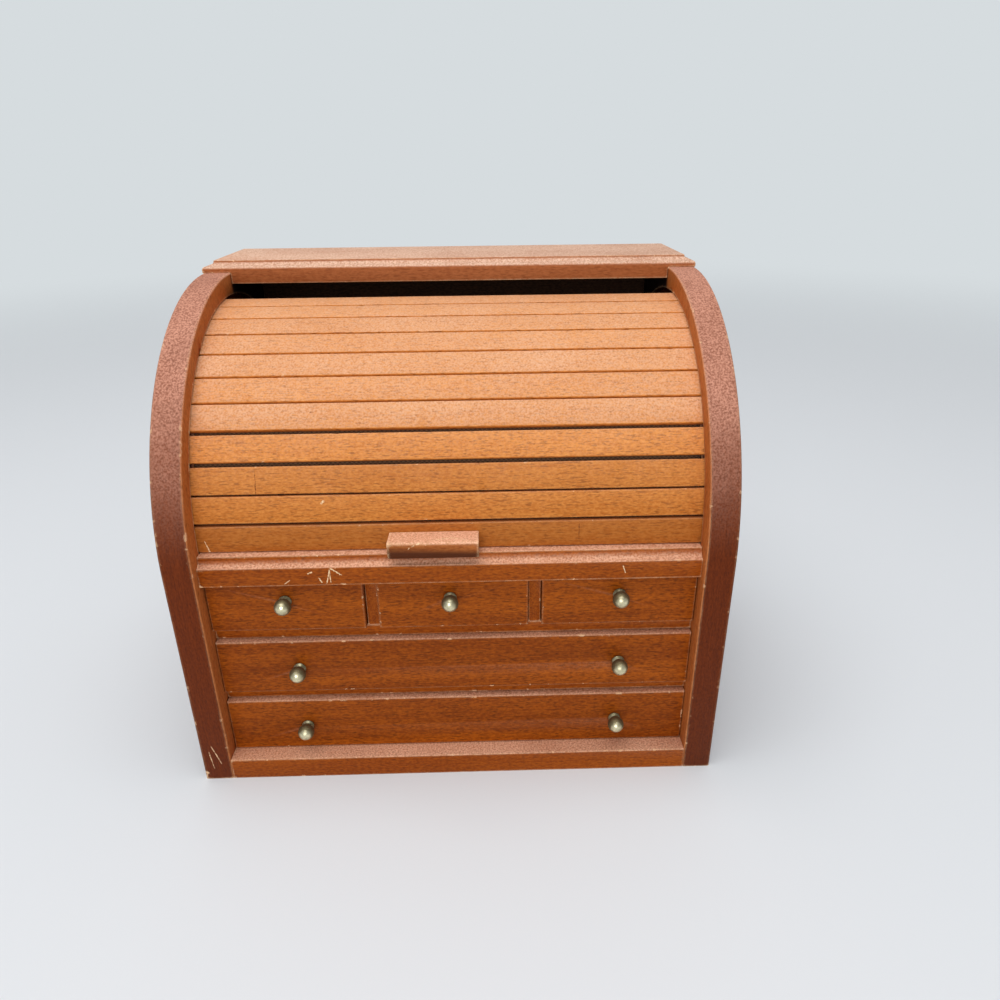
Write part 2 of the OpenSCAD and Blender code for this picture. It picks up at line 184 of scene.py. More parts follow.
def wood_grain_group():
    """Grain along X: broad bands, a mottle of short cells, fine fibres and dark flecks."""
    tree, given, result = new_group(
        "Wood grain",
        [("Vector", "Vector", (0, 0, 0)), ("Light", "Color", (1, 1, 1, 1)),
         ("Dark", "Color", (0, 0, 0, 1)), ("Fleck", "Color", (0, 0, 0, 1)),
         ("Banding", "Float", 0.5), ("Mottle", "Float", 0.5), ("Flecks", "Float", 0.5),
         ("Seed", "Float", 0.0)],
        [("Colour", "Color"), ("Height", "Float")])
    place, seed = given["Vector"], given["Seed"]
    bands = fade(tree, stretched(tree, place, GRAIN_BANDS, 3.0, seed, 0.8), 0.35, 0.65)
    mottle = fade(tree, stretched(tree, place, GRAIN_CELLS, 2.0, seed), 0.32, 0.68)
    fibres = stretched(tree, place, GRAIN_FIBRES, 3.0, seed)
    tone = calc(tree, "MULTIPLY", bands, given["Banding"])
    tone = calc(tree, "MULTIPLY_ADD", mottle, given["Mottle"], tone)
    tone = calc(tree, "MULTIPLY_ADD", fade(tree, fibres, 0.3, 0.7), 0.3, tone)
    colour = blend_colour(tree, tone, given["Light"], given["Dark"])
    flecks = fade(tree, stretched(tree, place, GRAIN_FLECKS, 2.0, seed), 0.52, 0.66)
    colour = blend_colour(tree, calc(tree, "MULTIPLY", flecks, given["Flecks"]), colour,
                          given["Fleck"])
    tree.links.new(colour, result["Colour"])
    tree.links.new(calc(tree, "MULTIPLY_ADD", flecks, -0.7, fibres), result["Height"])
    return tree


def worn_edges_group():
    """Where the arrises are rubbed: there is little wood behind the surface."""
    tree, given, result = new_group(
        "Worn edges",
        [("Vector", "Vector", (0, 0, 0)), ("Width", "Float", 0.001), ("Wear", "Float", 0.5),
         ("Chips", "Float", 0.5), ("Seed", "Float", 0.0)],
        [("Rubbed", "Float"), ("Chipped", "Float")])
    place, seed = given["Vector"], given["Seed"]
    behind = node(tree, "ShaderNodeAmbientOcclusion", {"Distance": given["Width"]},
                  inside=True, only_local=True, samples=8).outputs["AO"]
    edge = fade(tree, behind, 0.86, 0.58)
    patches = fade(tree, stretched(tree, place, WEAR_PATCHES, 3.0, seed), 0.35, 0.62)
    crumbs = fade(tree, stretched(tree, place, WEAR_CRUMBS, 3.0, seed), 0.35, 0.6)
    rub = calc(tree, "MULTIPLY_ADD", calc(tree, "MULTIPLY", patches, crumbs), 0.65, 0.35)
    rub = calc(tree, "MULTIPLY", calc(tree, "MULTIPLY", rub, edge), given["Wear"])
    tree.links.new(rub, result["Rubbed"])
    chips = calc(tree, "MULTIPLY_ADD", given["Chips"], 0.2,
                 stretched(tree, place, CHIP_PLACES, 3.0, seed))
    chips = calc(tree, "MULTIPLY", fade(tree, chips, 0.7, 0.73), fade(tree, behind, 0.9, 0.78))
    tree.links.new(chips, result["Chipped"])
    return tree


def dust_group():
    """Pale dust and fine wear on what faces up, thicker in patches and in specks."""
    tree, given, result = new_group(
        "Settled dust",
        [("Vector", "Vector", (0, 0, 0)), ("Normal", "Vector", (0, 0, 1)),
         ("Amount", "Float", 0.5), ("Seed", "Float", 0.0)],
        [("Dust", "Float")])
    place, seed = given["Vector"], given["Seed"]
    split = node(tree, "ShaderNodeSeparateXYZ", {"Vector": given["Normal"]})
    facing = fade(tree, split.outputs["Z"], 0.02, 0.8)
    patches = fade(tree, stretched(tree, place, DUST_PATCHES, 4.0, seed), 0.3, 0.7, 0.75, 1.0)
    specks = fade(tree, stretched(tree, place, DUST_SPECKS, 3.0, seed), 0.3, 0.68, 0.4, 1.25)
    settled = calc(tree, "MULTIPLY", calc(tree, "MULTIPLY", patches, specks), facing)
    settled = calc(tree, "MULTIPLY", settled, given["Amount"])
    tree.links.new(calc(tree, "MINIMUM", settled, 1.0), result["Dust"])
    return tree


def scratch_group():
    """A short scratch with ragged sides, from one point of the object to another."""
    tree, given, result = new_group(
        "Scratch mark",
        [("Vector", "Vector", (0, 0, 0)), ("From", "Vector", (0, 0, 0)),
         ("To", "Vector", (0, 0, 1)), ("Width", "Float", 0.0005)],
        [("Mask", "Float")])
    reach = vector(tree, "SUBTRACT", given["To"], given["From"]).outputs[0]
    out = vector(tree, "SUBTRACT", given["Vector"], given["From"]).outputs[0]
    share = calc(tree, "DIVIDE", vector(tree, "DOT_PRODUCT", out, reach).outputs["Value"],
                 vector(tree, "DOT_PRODUCT", reach, reach).outputs["Value"])
    share = calc(tree, "MAXIMUM", calc(tree, "MINIMUM", share, 1.0), 0.0)
    nearest = node(tree, "ShaderNodeVectorMath", {0: reach, "Scale": share}, operation="SCALE")
    off = vector(tree, "DISTANCE", out, nearest.outputs[0]).outputs["Value"]
    ragged = stretched(tree, given["Vector"], SCRATCH_SIDES, 2.0)
    off = calc(tree, "DIVIDE", off, given["Width"])
    off = calc(tree, "MULTIPLY_ADD", ragged, 2.4, off)
    tree.links.new(fade(tree, off, 1.3, 2.0, 1.0, 0.0), result["Mask"])
    return tree


WOOD_GRAIN = wood_grain_group()
WORN_EDGES = worn_edges_group()
SETTLED_DUST = dust_group()
SCRATCH_MARK = scratch_group()
GRAIN_TURN = {"X": (0, 0, 0), "Y": (0, 0, math.pi / 2), "Z": (0, math.pi / 2, 0)}


def wood(name, light, dark, fleck, grain="X", banding=0.4, mottle=0.5, flecks=0.5, wear=0.7,
         chips=0.3, edge_mm=0.9, dust=0.8, rough=0.5, gloss=0.1, bare=BARE_WOOD, dust_rgb=DUST,
         seed=0.0, inside=None, own_tone=None, under=None, marks=()):
    """A varnished wood: grain, dust, worn edges, scratches and fine relief.

    inside is the lighter and darker colour of the faces between the panels, which behind the header
    and above the slats are painted near black as shade; own_tone the darkest colour of a piece that
    has its own tone and dust, which for the slats holds painted shade too; under the colour of
    painted shade on what faces down; and each mark is a scratch's two ends, its width in mm and its
    colour.
    """
    material = bpy.data.materials.new(name)
    material.use_nodes = True
    tree = material.node_tree
    shader = tree.nodes["Principled BSDF"]
    coords = node(tree, "ShaderNodeTexCoord").outputs
    place = coords["Object"]
    turned = node(tree, "ShaderNodeMapping",
                  {"Vector": place, "Rotation": GRAIN_TURN[grain]}).outputs[0]
    light, dark = paint(light), paint(dark)
    if inside:
        at = node(tree, "ShaderNodeSeparateXYZ", {"Vector": place}).outputs
        is_inside = calc(tree, "LESS_THAN", calc(tree, "ABSOLUTE", at["X"]), INSIDE_HALF)
        # Painted shade: behind the header and above the slats the inside faces turn near black.
        painted_shade = calc(tree, "MULTIPLY", fade(tree, at["Y"], *BEHIND_HEADER),
                      fade(tree, at["Z"], *ABOVE_SLATS))
        light = blend_colour(tree, is_inside, light,
                             blend_colour(tree, painted_shade, paint(inside[0]), paint(INSIDE_PAINTED_SHADE)))
        dark = blend_colour(tree, is_inside, dark,
                            blend_colour(tree, painted_shade, paint(inside[1]), paint(INSIDE_PAINTED_SHADE)))
    if own_tone:
        tone = node(tree, "ShaderNodeAttribute", attribute_name="tone").outputs["Fac"]
        dust = node(tree, "ShaderNodeAttribute", attribute_name="dust").outputs["Fac"]
        light = blend_colour(tree, tone, paint(own_tone), light)
        dark = blend_colour(tree, tone, paint(own_tone), dark)
    fibre = use_group(tree, WOOD_GRAIN,
                      {"Vector": turned, "Light": light, "Dark": dark, "Fleck": paint(fleck),
                       "Banding": banding, "Mottle": mottle, "Flecks": flecks, "Seed": seed})
    dusty = use_group(tree, SETTLED_DUST, {"Vector": place, "Normal": coords["Normal"],
                                           "Amount": dust, "Seed": seed + 7})["Dust"]
    worn = use_group(tree, WORN_EDGES, {"Vector": place, "Width": edge_mm / 1000, "Wear": wear,
                                        "Chips": chips, "Seed": seed + 3})
    colour = blend_colour(tree, dusty, fibre["Colour"], paint(dust_rgb))
    # Painted shade: what faces down is darkened toward the underside colour.
    if under:
        split = node(tree, "ShaderNodeSeparateXYZ", {"Vector": coords["Normal"]})
        facing = split.outputs["Z"]
        colour = blend_colour(tree, fade(tree, facing, 0.1, -0.35), colour, paint(under))
    bared = calc(tree, "MAXIMUM", worn["Rubbed"], worn["Chipped"])
    colour = blend_colour(tree, bared, colour, paint(bare))
    height = calc(tree, "MULTIPLY_ADD", worn["Chipped"], -3.0, fibre["Height"])
    for start, end, width_mm, rgb in marks:
        mask = use_group(tree, SCRATCH_MARK, {"Vector": place, "From": start, "To": end,
                                              "Width": width_mm / 1000})["Mask"]
        colour = blend_colour(tree, mask, colour, paint(rgb))
        height = calc(tree, "MULTIPLY_ADD", mask, -2.0, height)
    tree.links.new(colour, shader.inputs["Base Color"])
    dull = calc(tree, "MAXIMUM", bared, dusty)
    tree.links.new(fade(tree, dull, 0.0, 1.0, rough, DULL_ROUGHNESS),
                   shader.inputs["Roughness"])
    shader.inputs["Specular IOR Level"].default_value = gloss
    relief = node(tree, "ShaderNodeBump",
                  {"Height": height, "Strength": GRAIN_RELIEF_STRENGTH,
                   "Distance": GRAIN_RELIEF_M})
    tree.links.new(relief.outputs[0], shader.inputs["Normal"])
    return material


def merged_copy(name):
    """A copy of a CAD node's mesh with its loose triangles joined into whole faces."""
    shell = bmesh.new()
    shell.from_mesh(frame["nodes"][name].data)
    bmesh.ops.remove_doubles(shell, verts=shell.verts, dist=JOIN_M)
    bmesh.ops.dissolve_limit(shell, angle_limit=FLAT_TURN, verts=shell.verts,
                             edges=shell.edges)
    mesh = bpy.data.meshes.new(name + "_made")
    shell.to_mesh(mesh)
    shell.free()
    return mesh


def body_of(name):
    """The body that a CAD node belongs to."""
    return frame["nodes"][name]["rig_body"]


def finish_piece(name, mesh, material, *nodes):
    """Puts a mesh in the scene under its material, riding and standing for its CAD nodes."""
    mesh.materials.clear()
    mesh.materials.append(material)
    piece = bpy.data.objects.new(name, mesh)
    bpy.context.scene.collection.objects.link(piece)
    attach(piece, body_of(nodes[0]))
    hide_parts(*nodes)
    return piece


def dressed(name, material, ease_mm=0.25):
    """A CAD node with its arrises softened, as sanding leaves them."""
    mesh = merged_copy(name)
    carrier = bpy.data.objects.new("carrier", mesh)
    bpy.context.scene.collection.objects.link(carrier)
    ease = carrier.modifiers.new("ease", "BEVEL")
    ease.width = ease_mm / 1000
    ease.segments = 2
    ease.limit_method = "ANGLE"
    ease.angle_limit = math.radians(ARRIS_DEG)
    ease.harden_normals = True
    mesh.shade_smooth()
    bpy.context.view_layer.update()
    eased = bpy.data.meshes.new_from_object(
        carrier.evaluated_get(bpy.context.evaluated_depsgraph_get()))
    bpy.data.objects.remove(carrier)
    return finish_piece(name + "_wood", eased, material, name)


def scratches(name, sizes_mm, rgb):
    """Marks on a node's front: across and up to both ends from its low left corner, and width."""
    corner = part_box(name)[0]
    return [(corner + Vector((across, 0, up)) / 1000, corner + Vector((to_across, 0, to_up)) / 1000,
             width, rgb) for across, up, to_across, to_up, width in sizes_mm]


# Two long scratches at the foot of the left panel, and its broken corner.
PANEL_SCRATCHES_MM = ((5, 18, 8, 8.5, 0.35), (3.5, 15, 4.5, 6, 0.3), (0, 0, 1, 3.5, 1.4))

panel_stain = wood("panel red-brown stain", PANEL_LIGHT, PANEL_DARK, PANEL_FLECK, grain="Z",
                   banding=0.3, mottle=0.4, flecks=0.35, wear=0.8, chips=0.42, edge_mm=1.6,
                   dust=0.95, dust_rgb=PANEL_DUST_AND_SHEEN, inside=(INSIDE_LIGHT, INSIDE_DARK),
                   marks=scratches("left_side", PANEL_SCRATCHES_MM, BARE_WOOD))
for name in ("left_side", "right_side"):
    dressed(name, panel_stain, PANEL_EASE_MM)

# ---- boards of the case ----
# The moulded top board, the desk shelf with its moulded edge, the boards and dividers between
# the drawers, the base rail and the board behind the compartment. They are of the same wood
# as the panels with a thinner, more orange stain.

CASE_LIGHT = (176, 90, 20)
CASE_DARK = (132, 58, 8)
CASE_FLECK = (84, 36, 8)
TOP_LIGHT = (184, 108, 62)
TOP_DARK = (156, 84, 44)
CASE_DUST = (226, 172, 140)
TOP_DUST = (230, 192, 166)
PALE_MARK = (240, 206, 160)
CASE_EDGE_MM = 1.3
TOP_EASE_MM = 0.2

# Knocks on the shelf's edge: a cluster left of the middle, one further left, one on the right.
SHELF_SCRATCHES_MM = (
    (43, 5.5, 44.5, 6, 0.5), (47, 3.5, 48, 1.5, 0.45), (51.5, 7, 50, 1, 0.35),
    (51.5, 7, 51.5, 1.5, 0.35), (52, 7.5, 56, 4.5, 0.45), (33.5, 1, 35.5, 2.5, 0.3),
    (166.5, 6, 167.5, 3, 0.35))

case_stain = wood("case orange stain", CASE_LIGHT, CASE_DARK, CASE_FLECK, chips=0.35,
                  edge_mm=CASE_EDGE_MM, dust=0.9, dust_rgb=CASE_DUST, seed=11.0)
shelf_stain = wood("shelf orange stain", CASE_LIGHT, CASE_DARK, CASE_FLECK, chips=0.35,
                   edge_mm=CASE_EDGE_MM, dust=1.0, dust_rgb=CASE_DUST, seed=13.0,
                   marks=scratches("desk_shelf", SHELF_SCRATCHES_MM, PALE_MARK))
top_stain = wood("top board stain", TOP_LIGHT, TOP_DARK, CASE_FLECK, flecks=0.3, chips=0.2,
                 edge_mm=CASE_EDGE_MM, dust=0.95, dust_rgb=TOP_DUST, seed=23.0)
dressed("top_board", top_stain, TOP_EASE_MM)
dressed("desk_shelf", shelf_stain)
for name in ("upper_board", "lower_board", "base_rail", "inner_back"):
    dressed(name, case_stain)
divider_stain = wood("divider orange stain", CASE_LIGHT, CASE_DARK, CASE_FLECK, grain="Y",
                     dust=0.7, seed=17.0)
for name in ("divider_left", "divider_right"):
    dressed(name, divider_stain)

# ---- back and bottom ----
# A thin panel of hardboard let into the rebates at the back and held by small nails, its colour
# painted dark as the shade inside the case, and the bottom board, of plain wood that was never
# stained and has browned with age.

RAW_LIGHT = (208, 166, 116)
RAW_DARK = (178, 134, 88)
RAW_FLECK = (138, 96, 60)
# The back panel's colours are painted dark as the shade inside the case.
BACK_SHADE_LIGHT = (84, 56, 38)
BACK_SHADE_DARK = (58, 38, 26)
BACK_SHADE_FLECK = (40, 26, 18)
BOARD_BARE = (150, 112, 80)
TARNISH_PATCHES = (420, 420, 420)
METAL_SCUFFS = (1500, 1500, 1500)
METAL_RELIEF_M = 0.00008
METAL_RELIEF_STRENGTH = 0.25
TARNISHED_ROUGHNESS = 0.6

# Painted shade: the back panel is coloured dark to stand for the shade inside the case.
hardboard = wood("hardboard painted dark as shade", BACK_SHADE_LIGHT, BACK_SHADE_DARK, BACK_SHADE_FLECK, banding=0.1,
                 mottle=0.7, wear=0.4, dust=0.3, rough=0.7, bare=BOARD_BARE, seed=31.0)
dressed("back_panel", hardboard)
box_wood = wood("unstained drawer wood", RAW_LIGHT, RAW_DARK, RAW_FLECK, grain="Y",
                banding=0.6, wear=0.2, dust=0.3, rough=0.65, seed=37.0)
dressed("bottom_board", box_wood)


def metal(name, light, dark, rough, grime_and_rim_shade, seed=0.0, painted_dark_rim=False):
    """A bare metal tarnished in patches; on the knobs it is also painted darker away from the
    front, a painted reflection of darker surroundings, so it stays bright only in front.
    """
    material = bpy.data.materials.new(name)
    material.use_nodes = True
    tree = material.node_tree
    shader = tree.nodes["Principled BSDF"]
    coords = node(tree, "ShaderNodeTexCoord").outputs
    place = coords["Object"]
    tarnish_and_rim_shade = fade(tree, stretched(tree, place, TARNISH_PATCHES, 4.0, seed), 0.3, 0.65)
    # Painted reflection: darker away from the front, a dark rim that stands for darker surroundings
    # reflected in the ball.
    if painted_dark_rim:
        split = node(tree, "ShaderNodeSeparateXYZ", {"Vector": coords["Normal"]})
        away = fade(tree, split.outputs["Y"], -0.95, -0.35)
        tarnish_and_rim_shade = calc(tree, "MINIMUM", calc(tree, "MULTIPLY_ADD", tarnish_and_rim_shade, 0.45, away), 1.0)
    tarnish_and_rim_shade = calc(tree, "MULTIPLY", tarnish_and_rim_shade, grime_and_rim_shade)
    tree.links.new(blend_colour(tree, tarnish_and_rim_shade, paint(light), paint(dark)),
                   shader.inputs["Base Color"])
    shader.inputs["Metallic"].default_value = 1.0
    tree.links.new(fade(tree, tarnish_and_rim_shade, 0.0, 1.0, rough, TARNISHED_ROUGHNESS),
                   shader.inputs["Roughness"])
    scuffs = stretched(tree, place, METAL_SCUFFS, 3.0, seed)
    relief = node(tree, "ShaderNodeBump",
                  {"Height": scuffs, "Strength": METAL_RELIEF_STRENGTH,
                   "Distance": METAL_RELIEF_M})
    tree.links.new(relief.outputs[0], shader.inputs["Normal"])
    return material


def new_tree(name, inputs):
    """An empty geometry nodes tree with named sockets, and its two ends."""
    tree = bpy.data.node_groups.new(name, "GeometryNodeTree")
    for label, kind in [("Geometry", "Geometry"), *inputs, ("Material", "Material")]:
        tree.interface.new_socket(label, in_out="INPUT", socket_type="NodeSocket" + kind)
    tree.interface.new_socket("Geometry", in_out="OUTPUT", socket_type="NodeSocketGeometry")
    return tree, tree.nodes.new("NodeGroupInput").outputs, tree.nodes.new("NodeGroupOutput").inputs


def hand_over(tree, given, result, geometry):
    """Ends a tree: smooth shading and the piece's material."""
    smooth = node(tree, "GeometryNodeSetShadeSmooth", {"Geometry": geometry})
    coloured = node(tree, "GeometryNodeSetMaterial",
                    {"Geometry": smooth.outputs[0], "Material": given["Material"]})
    tree.links.new(coloured.outputs[0], result["Geometry"])
    return tree


def turned_tree():
    """Geometry nodes: on each point a turned pin, collar, neck and ball along the Z axis."""
    tree, given, result = new_tree("Turned metal", [
        ("Pin", "Float"), ("Pin radius", "Float"), ("Reach", "Float"), ("Collar", "Float"),
        ("Collar radius", "Float"), ("Neck radius", "Float"), ("Ball radius", "Float"),
        ("Rings", "Int"), ("Facets", "Int"), ("Facing", "Vector")])
    axis = node(tree, "GeometryNodeCurvePrimitiveLine")
    axis = node(tree, "GeometryNodeResampleCurve",
                {"Curve": axis.outputs[0], "Count": given["Rings"]}).outputs[0]
    last = calc(tree, "SUBTRACT", given["Rings"], 1.0)
    share = calc(tree, "DIVIDE", node(tree, "GeometryNodeInputIndex").outputs[0], last)
    share = calc(tree, "SINE", calc(tree, "MULTIPLY", share, math.pi / 2))
    height = calc(tree, "MULTIPLY", share, calc(tree, "ADD", given["Pin"], given["Reach"]))
    height = calc(tree, "SUBTRACT", height, given["Pin"])
    centre = calc(tree, "SUBTRACT", given["Reach"], given["Ball radius"])
    from_centre = calc(tree, "SUBTRACT", height, centre)
    chord = calc(tree, "SUBTRACT", calc(tree, "POWER", given["Ball radius"], 2.0),
                 calc(tree, "MULTIPLY", from_centre, from_centre))
    ball = calc(tree, "SQRT", calc(tree, "MAXIMUM", chord, 0.0))
    collar = calc(tree, "MULTIPLY", calc(tree, "LESS_THAN", height, given["Collar"]),
                  given["Collar radius"])
    stem = calc(tree, "MULTIPLY", calc(tree, "LESS_THAN", height, centre),
                calc(tree, "MAXIMUM", collar, given["Neck radius"]))
    in_hole = calc(tree, "LESS_THAN", height, 0.0)
    outside = calc(tree, "MULTIPLY", calc(tree, "SUBTRACT", 1.0, in_hole),
                   calc(tree, "MAXIMUM", ball, stem))
    radius = calc(tree, "MULTIPLY_ADD", in_hole, given["Pin radius"], outside)
    at = node(tree, "ShaderNodeCombineXYZ", {"Z": height})
    bent = node(tree, "GeometryNodeSetPosition", {"Geometry": axis, "Position": at.outputs[0]})
    swelled = node(tree, "GeometryNodeSetCurveRadius",
                   {"Curve": bent.outputs[0], "Radius": radius})
    ring = node(tree, "GeometryNodeCurvePrimitiveCircle",
                {"Resolution": given["Facets"], "Radius": 1.0})
    held = node(tree, "GeometryNodeInputRadius")
    solid = node(tree, "GeometryNodeCurveToMesh",
                 {"Curve": swelled.outputs[0], "Profile Curve": ring.outputs[0],
                  "Scale": held.outputs[0], "Fill Caps": True})
    turn = node(tree, "FunctionNodeEulerToRotation", {"Euler": given["Facing"]})
    placed = node(tree, "GeometryNodeInstanceOnPoints",
                  {"Points": given["Geometry"], "Instance": solid.outputs[0],
                   "Rotation": turn.outputs[0]})
    whole = node(tree, "GeometryNodeRealizeInstances", {"Geometry": placed.outputs[0]})
    return hand_over(tree, given, result, whole.outputs[0])


def grown(points, attributes, tree, values):
    """Plain mesh that a geometry nodes tree makes from some points with attributes."""
    seeds = bpy.data.meshes.new("seeds")
    seeds.from_pydata(points, [], [])
    for key, numbers in attributes.items():
        seeds.attributes.new(key, "FLOAT", "POINT").data.foreach_set("value", numbers)
    carrier = bpy.data.objects.new("carrier", seeds)
    bpy.context.scene.collection.objects.link(carrier)
    modifier = carrier.modifiers.new("grow", "NODES")
    modifier.node_group = tree
    for socket in tree.interface.items_tree:
        if socket.in_out == "INPUT" and socket.name in values:
            modifier[socket.identifier] = values[socket.name]
    bpy.context.view_layer.update()
    mesh = bpy.data.meshes.new_from_object(
        carrier.evaluated_get(bpy.context.evaluated_depsgraph_get()))
    bpy.data.objects.remove(carrier)
    return mesh


def solids_of(name):
    """Lowest and highest corner of each separate solid of a CAD node."""
    shell = bmesh.new()
    shell.from_mesh(frame["nodes"][name].data)
    bmesh.ops.remove_doubles(shell, verts=shell.verts, dist=JOIN_M)
    left, boxes = set(shell.verts), []
    while left:
        found, edge = [], [left.pop()]
        while edge:
            vert = edge.pop()
            found.append(vert.co.copy())
            near = {link.other_vert(vert) for link in vert.link_edges} & left
            left -= near
            edge.extend(near)
        boxes.append([[pick(co[i] for co in found) for i in range(3)] for pick in (min, max)])
    shell.free()
    return sorted(boxes)


TURNED_TREE = turned_tree()
NAIL_HEAD = 0.0003
NAIL_HEAD_RADIUS = 0.0013
NAIL_RADIUS = 0.0006
NAIL_RINGS = 64
NAIL_FACETS = 24
STEEL_LIGHT = (150, 142, 134)
STEEL_DARK = (92, 70, 54)
TO_THE_BACK = (-math.pi / 2, 0.0, 0.0)

nail_steel = metal("nail steel", STEEL_LIGHT, STEEL_DARK, rough=0.45, grime_and_rim_shade=0.9, seed=41.0)
nail_boxes = solids_of("back_nails")
nail_places = [((low[0] + high[0]) / 2, high[1] - NAIL_HEAD, (low[2] + high[2]) / 2)
               for low, high in nail_boxes]
nail_length = nail_boxes[0][1][1] - nail_boxes[0][0][1] - NAIL_HEAD
nails = grown(nail_places, {}, TURNED_TREE,
              {"Pin": nail_length, "Pin radius": NAIL_RADIUS, "Reach": NAIL_HEAD,
               "Collar": NAIL_HEAD, "Collar radius": NAIL_HEAD_RADIUS, "Neck radius": 0.0,
               "Ball radius": 0.0, "Rings": NAIL_RINGS, "Facets": NAIL_FACETS,
               "Facing": TO_THE_BACK, "Material": nail_steel})
finish_piece("back_nail_heads", nails, nail_steel, "back_nails")

# ---- tambour slats ----
# Eleven flat wooden slats with eased edges, glued side by side on cloth. Each is sawn from
# another piece, so the tone changes from slat to slat, and the edges are nicked; the lowest slat
# is painted darker still as the shade by the shelf. The seven lead slats move as one, and the four
# tail slats each fold on their own.

SLAT_LIGHT = (236, 154, 72)
SLAT_DARK = (196, 112, 40)
# The deepest slat tone, which the lowest slat nears as painted shade by the shelf.
SLAT_DEEP_AND_SHADE = (134, 66, 16)
SLAT_FLECK = (126, 66, 24)
SLAT_WIDTH = 0.01075
SLAT_THICK = 0.0032
SLAT_EASE = 0.0005
SLAT_EASE_STEPS = 3
SLAT_RINGS = 150
SLAT_NICK_M = 0.00009
SLAT_SEED = 5
SLAT_WOBBLE = (60, 220, 220)
SLAT_NICK_PLACES = (260, 420, 420)
SLAT_DUST_RGB = (228, 174, 136)
DARK_SPOT = (118, 62, 28)
LEAD_SLATS = 7
# From the lowest slat up: how far each is from the deepest tone, and how much dust it carries.
# The lowest slat's dark tone is partly painted shade by the shelf.
SLAT_TONES_AND_SHADE = (0.42, 0.72, 0.68, 0.92, 0.9, 0.95, 0.9, 0.95, 0.9, 0.95, 0.9)
SLAT_DUST = (0.2, 0.25, 0.25, 0.4, 0.9, 0.7, 0.85, 0.75, 0.8, 0.8, 0.75)


def slat_tree():
    """Geometry nodes: one eased slat on each point, turned on the track and nicked."""
    tree, given, result = new_tree("Tambour slats", [
        ("Length", "Float"), ("Width", "Float"), ("Thickness", "Float"), ("Ease", "Float"),
        ("Nicks", "Float"), ("Rings", "Int"), ("Seed", "Int")])
    half = calc(tree, "MULTIPLY", given["Length"], 0.5)
    start = node(tree, "ShaderNodeCombineXYZ", {"X": calc(tree, "MULTIPLY", half, -1.0)})
    end = node(tree, "ShaderNodeCombineXYZ", {"X": half})
    spine = node(tree, "GeometryNodeCurvePrimitiveLine",
                 {"Start": start.outputs[0], "End": end.outputs[0]})
    spine = node(tree, "GeometryNodeResampleCurve",
                 {"Curve": spine.outputs[0], "Count": given["Rings"]})
    section = node(tree, "GeometryNodeCurvePrimitiveQuadrilateral",
                   {"Width": given["Width"], "Height": given["Thickness"]})
    section = node(tree, "GeometryNodeFilletCurve",
                   {"Curve": section.outputs[0], "Count": SLAT_EASE_STEPS,
                    "Radius": given["Ease"]}, mode="POLY")
    solid = node(tree, "GeometryNodeCurveToMesh",
                 {"Curve": spine.outputs[0], "Profile Curve": section.outputs[0],
                  "Fill Caps": True})
    turn = node(tree, "GeometryNodeInputNamedAttribute", {"Name": "turn"}, data_type="FLOAT")
    turn = node(tree, "ShaderNodeCombineXYZ", {"X": turn.outputs[0]})
    placed = node(tree, "GeometryNodeInstanceOnPoints",
                  {"Points": given["Geometry"], "Instance": solid.outputs[0],
                   "Rotation": turn.outputs[0]})
    whole = node(tree, "GeometryNodeRealizeInstances", {"Geometry": placed.outputs[0]})
    place = node(tree, "GeometryNodeInputPosition").outputs[0]
    seed = calc(tree, "MULTIPLY", given["Seed"], 1.7)
    wobble = stretched(tree, place, SLAT_WOBBLE, 2.0, seed)
    nicks = fade(tree, stretched(tree, place, SLAT_NICK_PLACES, 2.0, seed), 0.62, 0.72)
    depth = calc(tree, "MULTIPLY_ADD", nicks, 2.2, wobble)
    depth = calc(tree, "MULTIPLY", depth, calc(tree, "MULTIPLY", given["Nicks"], -1.0))
    inward = node(tree, "ShaderNodeVectorMath",
                  {0: node(tree, "GeometryNodeInputNormal").outputs[0], "Scale": depth},
                  operation="SCALE")
    nicked = node(tree, "GeometryNodeSetPosition",
                  {"Geometry": whole.outputs[0], "Offset": inward.outputs[0]})
    return hand_over(tree, given, result, nicked.outputs[0])


roll = next(j for j in frame["joints"] if j["name"] == "tambour_roll")
track_centre = Vector(roll["pos_m"])
track_radius = track_centre.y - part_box("slat_01")[0].y
SLAT_TREE = slat_tree()


def middle(name):
    """Middle of a CAD node's box."""
    low, high = (Vector(corner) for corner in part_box(name))
    return (low + high) / 2


def slat_turn(name):
    """How far a slat is turned from lying flat on top of the track, from its place."""
    out = middle(name) - track_centre
    return math.atan2(-out.y, out.z)


def on_track(across_mm, along_mm):
    """A place on the slats' faces: across from the middle, and up along the track from where
    it stands upright."""
    turn = along_mm / 1000 / track_radius
    return track_centre + Vector((across_mm / 1000, -track_radius * math.cos(turn),
                                  track_radius * math.sin(turn)))


